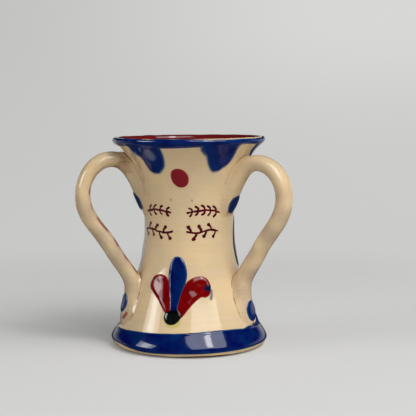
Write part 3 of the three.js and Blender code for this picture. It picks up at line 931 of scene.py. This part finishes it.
foot_depth = np.minimum(
    past_edge(azimuth_grid, length_grid, foot_low_line, True),
    past_edge(azimuth_grid, length_grid, foot_top_line, False),
)
above_floor = height_at(length_grid)
foot_height = cushion(foot_depth, 0.38 + 0.14 * ease(6.5 - above_floor, 0.0, 4.0), 0.65)
crept = hump(azimuth_grid, 74, 9) * ease(above_floor, 7.5, 9.5)
foot_height += 0.8 * crept * ease(foot_depth, 0.0, 1.2)
uneven = smooth_noise(np.radians(azimuth_grid) * 27, length_grid, 6.0, 25)
foot_height += 0.008 * uneven * (foot_depth > 0.4)
foot_slip = slip_sheet(
    "foot_band", body_face, azimuth_grid, length_grid, foot_depth, foot_height, blue_slip, wraps=True)
seat_piece(foot_slip, "blue_slip", "foot_slip")

# The dots on the handles' ends
# A drop of blue slip is set on each end of each handle, as a cover for the thumb's last mark.
dots = [
    {"name": "upper_dot", "share": 0.05, "upward": 1, "across": 6.5, "along": 7.4, "tilt": 0.12},
    {"name": "lower_dot", "share": 0.93, "upward": -1, "across": 6.0, "along": 7.6, "tilt": -0.18},
]


def strap_canvas(handle, dot):
    """The strap's side away from the body, at one end, as a surface in mm across and along."""
    face = math.pi if dot["upward"] > 0 else 0.0
    sideways, shift = handle[dot["name"]]

    def surface(across, along, lift):
        there = dot["share"] + dot["upward"] * (along + shift) / handle["length"]
        half_width = strap_size(np.clip(there, 0, 1))[0] / 2
        turn = np.arcsin(np.clip((across + sideways) / half_width, -0.98, 0.98))
        return smoothed_skin(handle, there, face - dot["upward"] * turn, lift)[0]

    return surface


def swung(points, angle):
    """Points of a plane turned about its origin."""
    x, y = points.T
    return np.stack([
        x * math.cos(angle) - y * math.sin(angle), x * math.sin(angle) + y * math.cos(angle)
    ], axis=-1)


def oval(across, along, tilt, seed):
    """The outline of a dropped dot: an oval, a little uneven."""
    picker = np.random.default_rng(seed)
    turn = np.linspace(0, 2 * math.pi, 40, endpoint=False)
    swell = 1 + 0.025 * np.sin(2 * turn + picker.uniform(0, 6))
    swell = swell + 0.02 * np.sin(3 * turn + picker.uniform(0, 6))
    outline = [across / 2 * swell * np.cos(turn), along / 2 * swell * np.sin(turn)]
    outline = swung(np.stack(outline, axis=-1), tilt)
    return np.vstack([outline, outline[:1]])


dot_margin = 0.6
for handle in handles:
    for dot in dots:
        outline = oval(dot["across"], dot["along"], dot["tilt"], handle["seed"])
        half_across, half_along = dot["across"] / 2 + dot_margin, dot["along"] / 2 + dot_margin
        across_grid, along_grid = np.meshgrid(
            np.linspace(-half_across, half_across, 46), np.linspace(-half_along, half_along, 54))
        depth = depth_in(across_grid, along_grid, outline)
        name = f"{handle['name']}_{dot['name']}"
        piece = slip_sheet(
            name + "_of_slip", strap_canvas(handle, dot), across_grid, along_grid, depth,
            cushion(depth, 0.42, 1.6), blue_slip)
        seat_piece(piece, "blue_slip", name)

# The painted flowers
# On each panel between two handles: a blue petal, two red ones and a dark eye, each one full
# brush stroke, and a red dot under the rim.
deep_red = (0.135, 0.0006, 0.0012, 1)
even_red = (0.175, 0.0008, 0.0012, 1)
thin_red = (0.215, 0.0120, 0.0180, 1)
edge_red = (0.28, 0.022, 0.02, 1)
dyed_dark = (0.006, 0.006, 0.035, 1)
deep_dark = (0.0010, 0.0014, 0.0018, 1)
even_dark = (0.0035, 0.0060, 0.0050, 1)
edge_dark = (0.035, 0.045, 0.022, 1)
red_slip, tree, shader, marks, colour = new_slip(
    "red_slip", (0.2, 0.01, 0.012), 0.005, deep_red, even_red)
colour = blend_colours(tree, painted(tree, "thinly_laid"), colour, thin_red)
colour = thin_at_edge(tree, colour, edge_red, 0.55, 1.35, marks.outputs["Grain"])
dyed = reckon(tree, "MULTIPLY_ADD", marks.outputs["Grain"], 0.6, painted(tree, "dyed"))
colour = blend_colours(tree, fade(tree, dyed, 0.75, 1.15), colour, dyed_dark)
glaze_over(tree, shader, marks, colour, 0.05, 0.07)

dark_slip, tree, shader, marks, colour = new_slip(
    "dark_slip", (0.008, 0.008, 0.01), 0.004, deep_dark, even_dark)
colour = thin_at_edge(tree, colour, edge_dark, 0.6, 1.1)
glaze_over(tree, shader, marks, colour, 0.05, 0.07)


def canvas(outline, spacing, margin=0.5):
    """A grid of points over an outline in mm, with a margin round it."""
    low, high = outline.min(axis=0) - margin, outline.max(axis=0) + margin
    return np.meshgrid(np.arange(low[0], high[0], spacing), np.arange(low[1], high[1], spacing))


def mark_on_body(name, placed_at, x_grid, length_grid, depth, height, finish, masks=()):
    """A sheet of slip on the body's face, from a grid in mm across an azimuth and up the face."""
    azimuth_grid = placed_at + np.degrees(x_grid / radius_at(length_grid))
    return slip_sheet(name, body_face, azimuth_grid, length_grid, depth, height, finish, masks=masks)


slips = {"blue_slip": blue_slip, "red_slip": red_slip, "dark_slip": dark_slip}
flower_middle = -12.5
dot_middle = -8.6
flower_marks = [
    {
        "name": "middle_petal", "slot": "blue_slip", "thick": 0.42, "shoulder": 1.5,
        "outline": [
            (-12.0, 34.3), (-15.6, 34.2), (-18.8, 33.3), (-21.0, 31.4), (-22.0, 29.0),
            (-21.6, 26.4), (-20.4, 23.0), (-18.4, 19.0), (-17.0, 15.6), (-13.0, 14.2),
            (-9.6, 15.6), (-7.6, 19.4), (-5.0, 22.6), (-2.4, 25.4), (-1.2, 28.2), (-2.6, 31.0),
            (-5.2, 33.0), (-8.4, 34.0),
        ],
    },
    {
        "name": "left_petal", "slot": "red_slip", "thick": 0.34, "shoulder": 1.8,
        "outline": [
            (-36.9, 27.6), (-41.2, 26.6), (-43.7, 24.5), (-42.4, 22.9), (-38.7, 21.8),
            (-30.9, 19.4), (-25.1, 16.9), (-20.6, 14.9), (-15.6, 14.3), (-13.6, 16.2),
            (-14.4, 19.4), (-17.2, 22.6), (-19.8, 25.4), (-24.0, 27.2), (-30.6, 27.9),
        ],
    },
    {
        "name": "right_petal", "slot": "red_slip", "thick": 0.34, "shoulder": 1.8,
        "touched": (20.6, 23.4),
        "outline": [
            (13, 27.5), (5.3, 27.0), (-1.2, 25.6), (-6.4, 22.7), (-9.2, 19.6), (-10.6, 16.4),
            (-9.8, 14.2), (-5.6, 13.6), (0.9, 16.6), (6.1, 18.6), (12.7, 20.3), (17.1, 20.2),
            (21.6, 21.1), (23.9, 23.5), (21.7, 26), (18, 27.1),
        ],
    },
    {
        "name": "eye", "slot": "dark_slip", "thick": 0.55, "shoulder": 1.9,
        "outline": [
            (-17.9, 15.9), (-20.8, 14.9), (-21.3, 13.4), (-19.2, 11.8), (-15.1, 11.1),
            (-10.6, 11.5), (-6.8, 13.0), (-5.8, 14.6), (-7.7, 16.0), (-12.8, 16.5),
        ],
    },
    {
        "name": "rim_dot", "slot": "red_slip", "thick": 0.34, "shoulder": 1.3,
        "outline": [
            (0.8, 61.7), (-0.1, 63.3), (-2.7, 64.5), (-6.5, 65.4), (-11.0, 65.6), (-14.8, 65.2),
            (-17.4, 64.2), (-18.3, 62.8), (-17.4, 61.2), (-14.8, 60.0), (-11.0, 59.1),
            (-6.5, 58.9), (-2.7, 59.3), (-0.1, 60.3),
        ],
    },
]
# Where a panel's flower and dot stand is in degrees, and how far they are turned is in radians.
panels = [
    {"name": "front", "flower": flower_middle, "dot": dot_middle, "turn": 0.0},
    {"name": "back_right", "flower": 118.0, "dot": 118.0, "turn": 0.10},
    {"name": "back_left", "flower": 222.0, "dot": 225.0, "turn": -0.08},
]
for panel in panels:
    for mark in flower_marks:
        is_dot = mark["name"] == "rim_dot"
        middle, pivot_height = (dot_middle, 62.4) if is_dot else (flower_middle, 16.0)
        pivot = np.array([0.0, face_length(pivot_height)])
        outline = rounded(on_face(mark["outline"], middle))
        outline = pivot + swung(outline - pivot, panel["turn"])
        x_grid, length_grid = canvas(outline, 0.17)
        depth = depth_in(x_grid, length_grid, outline)
        height = cushion(depth, mark["thick"], mark["shoulder"])
        height += 0.02 * smooth_noise(x_grid, length_grid, 3.5, 31) * (depth > 0.5)
        dyed = np.zeros_like(depth)
        if "touched" in mark:
            (spot_x, spot_length), = on_face([mark["touched"]], middle)
            off_spot = np.hypot((x_grid - spot_x) * 0.8, length_grid - spot_length)
            dyed = np.clip(1.5 - off_spot / 1.5, 0, 1)
        name = f"{panel['name']}_{mark['name']}"
        piece = mark_on_body(
            name + "_stroke", panel["dot" if is_dot else "flower"], x_grid, length_grid, depth,
            height, slips[mark["slot"]],
            {"dyed": dyed, "thinly_laid": np.full(depth.shape, float(is_dot))})
        seat_piece(piece, mark["slot"], name)

# The dark leaves
# On each panel at the back, a pair of tall leaves in dark slip, one stroke each, curving inwards.
leaf_low, leaf_high = (11.2, 28.75), (6.0, 47.75)
leaf_bow = 1.08
leaf_half_width = 2.3
for panel in panels[1:]:
    for name, side in (("left_leaf", -1), ("right_leaf", 1)):
        share = np.linspace(0, 1, 40)
        x = side * (leaf_low[0] + (leaf_high[0] - leaf_low[0]) * share)
        x = x + side * leaf_bow * np.sin(math.pi * share)
        half = leaf_half_width * np.sqrt(np.sin(math.pi * share))
        length = face_length(leaf_low[1] + (leaf_high[1] - leaf_low[1]) * share)
        left_edge, right_edge = np.stack([[x - half, length], [x + half, length]]).transpose(0, 2, 1)
        outline = np.vstack([left_edge, right_edge[::-1], left_edge[:1]])
        x_grid, length_grid = canvas(outline, 0.2)
        depth = depth_in(x_grid, length_grid, outline)
        name = f"{panel['name']}_{name}"
        piece = mark_on_body(
            name + "_stroke", panel["flower"], x_grid, length_grid, depth,
            cushion(depth, 0.42, 1.6), dark_slip)
        seat_piece(piece, "dark_slip", name)

# The scratched ornament
# Before the glaze goes on, a point is drawn through the cream slip to the red clay below. Two rows
# of plain leafy and berried sprigs stand round the waist, as drawn freely by hand.
scratch_half_width = 0.40
berry_radius = 0.66
scratched_clay, tree, shader, marks, colour = new_slip(
    "scratched_clay", (0.07, 0.004, 0.01), 0.003,
    (0.062, 0.0020, 0.0065, 1), (0.095, 0.0040, 0.0100, 1))
glaze_over(tree, shader, marks, colour, 0.06, 0.1)


def sprig(length, pairs, way=1):
    """A bowed stem with pairs of short leaves, as strokes in mm. It points the given way."""

    def on_stem(share):
        return np.stack([way * length * (share - 0.5), 0.9 * np.sin(math.pi * share) + 1.2], axis=-1)

    strokes = [on_stem(np.linspace(0, 1, 12))]
    for pair in range(pairs):
        at = 0.14 + 0.74 * pair / max(pairs - 1, 1)
        foot = on_stem(at)
        size = 2.0 - 0.5 * at
        for side in (1, -1):
            lean = way * (0.75 + 0.12 * side)
            bend = foot + np.array([lean * size * 0.22, side * size * 0.6])
            tip = foot + np.array([lean * size * 0.8, side * size * 0.92])
            strokes.append(np.array([foot, bend, tip]))
    return strokes, []


def berry_sprig(length, berries, way=1):
    """A waving stem with a berry on a short stalk to each side in turn, and the berries' places."""

    def on_stem(share):
        wave = 2.1 + 0.5 * np.sin(2 * math.pi * share)
        return np.stack([way * length * (share - 0.5), wave], axis=-1)

    strokes = [on_stem(np.linspace(0, 1, 14))]
    spots = []
    for berry in range(berries):
        foot = on_stem(0.08 + 0.8 * berry / (berries - 1))
        side = 1 if berry % 2 else -1
        tip = foot + np.array([way * 0.8, side * 1.7])
        strokes.append(np.array([foot, foot + np.array([way * 0.2, side * 1.0]), tip]))
        spots.append(tip + np.array([way * 0.15, side * 0.3]))
    return strokes, spots


motifs = [
    ("scratched_upper_left", -43, 48.6, sprig(11.6, 4)),
    ("scratched_upper_right", 21, 48.6, sprig(12.4, 5, way=-1)),
    ("scratched_lower_left", -45, 41.0, berry_sprig(14.0, 7)),
    ("scratched_lower_right", 19, 41.0, berry_sprig(11.5, 6, way=-1)),
]
for number, (name, placed_at, height, (strokes, spots)) in enumerate(motifs):
    strokes = [rounded(stroke, closed=False, steps=5) for stroke in strokes]
    drawn = np.vstack(strokes + [np.array(spots).reshape(-1, 2)])
    x_grid, y_grid = canvas(drawn, 0.1, 0.9)
    shaken_x = x_grid + 0.10 * smooth_noise(x_grid, y_grid, 3.1, 61 + number)
    shaken_y = y_grid + 0.10 * smooth_noise(x_grid, y_grid, 3.4, 71 + number)
    distance = np.full(x_grid.shape, 1e9)
    for stroke in strokes:
        distance = np.minimum(distance, distance_to_line(shaken_x, shaken_y, stroke))
    depth = scratch_half_width + 0.05 * smooth_noise(x_grid, y_grid, 2.6, 81 + number) - distance
    for x, y in spots:
        depth = np.maximum(depth, berry_radius - np.hypot(shaken_x - x, shaken_y - y))
    piece = mark_on_body(
        name, placed_at, x_grid, face_length(height) + y_grid, depth, cushion(depth, 0.05, 0.2),
        scratched_clay)
    seat_piece(piece, "red_slip")

# The floor and backdrop
# A plain pale sweep that rises behind the vase on every side, so that it has no horizon. Away from
# the vase it glows to the camera, as lit paper does, in painted light brighter to the right and upward,
# and the glaze mirrors it dimly.
sweep_profile = [
    (0.25, 0.0), (0.5, 0.0), (0.9, 0.0), (1.1, 0.02), (1.3, 0.09), (1.45, 0.22), (1.53, 0.4),
    (1.55, 0.7), (1.55, 1.3),
]
sweep_turns = 96
painted_fill_glow = 0.22
turns = np.linspace(0, 2 * math.pi, sweep_turns, endpoint=False)
sweep_line = rounded(sweep_profile, closed=False, steps=4)
sweep_grid = np.stack([
    sweep_line[:, :1] * np.cos(turns), sweep_line[:, :1] * np.sin(turns),
    sweep_line[:, 1:] * np.ones_like(turns),
], axis=-1)
sweep_points = np.vstack([sweep_grid.reshape(-1, 3), [0, 0, 0]]) / mm
sweep_faces = grid_faces(len(sweep_line), sweep_turns, True).tolist()
for turn in range(sweep_turns):
    sweep_faces.append([(turn + 1) % sweep_turns, turn, len(sweep_points) - 1])
sweep_finish, tree, shader = new_finish("pale_sweep", (0.6, 0.6, 0.6))
shader.inputs["Roughness"].default_value = 0.9
shader.inputs["Specular IOR Level"].default_value = 0.1
parts = add_node(tree, "ShaderNodeSeparateXYZ", {0: object_place(tree)})
# Painted light on the sweep: brighter towards the right, and higher up on that side.
painted_light_to_right = fade(tree, parts.outputs["X"], -0.40, 0.25)
low_colour = blend_colours(tree, painted_light_to_right, (0.56, 0.56, 0.555, 1), (0.605, 0.602, 0.592, 1))
high_colour = blend_colours(tree, painted_light_to_right, (0.54, 0.54, 0.535, 1), (0.685, 0.682, 0.67, 1))
painted_light_upward = fade(tree, parts.outputs["Z"], 0.0, 0.22)
glow_colour = blend_colours(tree, painted_light_upward, low_colour, high_colour)
glow = add_node(tree, "ShaderNodeEmission", {"Color": glow_colour, "Strength": 1.0})
flat_place = object_place(tree, (1.0, 1.0, 0.0))
from_middle = add_node(tree, "ShaderNodeVectorMath", {0: flat_place}, operation="LENGTH")
from_middle = from_middle.outputs["Value"]
farther = fade(tree, from_middle, 0.34, 0.70)
lit_colour = blend_colours(tree, farther, (0.70, 0.70, 0.69, 1), (0.28, 0.28, 0.28, 1))
rays = add_node(tree, "ShaderNodeLightPath")
dimmed = reckon(tree, "MULTIPLY", rays.outputs["Is Glossy Ray"], 0.94)
lit_colour = blend_colours(tree, dimmed, lit_colour, (0.0, 0.0, 0.0, 1))
tree.links.new(lit_colour, shader.inputs["Base Color"])
behind = fade(tree, parts.outputs["Y"], -0.1, 0.5)
behind = reckon(tree, "MULTIPLY", behind, fade(tree, parts.outputs["Z"], 0.40, 0.12))
mirrored = reckon(tree, "MULTIPLY", rays.outputs["Is Glossy Ray"], behind)
seen = reckon(tree, "MAXIMUM", rays.outputs["Is Camera Ray"], mirrored)
# Painted fill light: the sweep glows a little even next to the vase, which lightens its cast shadow.
glowing = reckon(tree, "MAXIMUM", fade(tree, from_middle, 0.11, 0.30), painted_fill_glow)
glowing = reckon(tree, "MULTIPLY", glowing, seen)
mixed = add_node(tree, "ShaderNodeMixShader", {0: glowing, 1: shader.outputs[0], 2: glow.outputs[0]})
tree.links.new(mixed.outputs[0], tree.nodes["Material Output"].inputs["Surface"])
sweep = make_piece("sweep", sweep_points, sweep_faces, sweep_finish)

# The studio light
# A large softbox at the right is the main light, with a bright strip in it, and a smaller one is
# low at the left. Each has a sheen, a brighter part that only the glaze mirrors. Two reflectors
# fill in from the right and from low in front, and the room does too, all unseen in the glaze.
vase_middle = Vector((0, 0, 0.038))


def softbox(name, azimuth, elevation, distance, size, roll, power, lights=True, shows=True):
    """A soft rectangular lamp that faces the vase, unseen by the camera. It lights what is matt,
    and shows in what is glossy, unless it is told not to."""
    lamp_data = bpy.data.lights.new(name, "AREA")
    lamp_data.shape = "RECTANGLE"
    lamp_data.size, lamp_data.size_y = size
    lamp_data.energy = power
    lamp = bpy.data.objects.new(name, lamp_data)
    turn, tilt = math.radians(azimuth), math.radians(elevation)
    level = math.cos(tilt)
    direction = Vector((math.sin(turn) * level, -math.cos(turn) * level, math.sin(tilt)))
    lamp.location = vase_middle + direction * distance
    lamp.rotation_euler = (-direction).to_track_quat("-Z", "Y").to_euler()
    lamp.rotation_euler.rotate_axis("Z", math.radians(roll))
    lamp.visible_camera = False
    lamp.visible_diffuse = lights
    lamp.visible_glossy = shows
    bpy.context.scene.collection.objects.link(lamp)


softbox("main_softbox", 34, 47, 1.25, (1.17, 0.94), -5, 8.9)
softbox("bright_strip", 37, 48, 1.22, (0.17, 0.66), -5, 3.9)
softbox("side_softbox", -70, 25, 1.25, (0.60, 0.46), 0, 3.5)
softbox("main_sheen", 34, 47, 1.24, (1.17, 0.94), -5, 3.4, lights=False)
softbox("side_sheen", -70, 25, 1.24, (0.26, 0.46), 0, 1.6, lights=False)
softbox("right_reflector", 74, 34, 1.25, (0.80, 0.70), 0, 4.8, shows=False)
softbox("low_reflector", 12, 5, 1.30, (0.90, 0.40), 0, 2.0, shows=False)
world = bpy.data.worlds.new("studio")
world.use_nodes = True
room = world.node_tree.nodes["Background"]
room.inputs["Color"].default_value = (0.93, 0.96, 1.0, 1)
room.inputs["Strength"].default_value = 0.15
world.cycles_visibility.glossy = False
bpy.context.scene.world = world
bpy.context.scene.view_settings.view_transform = "Standard"
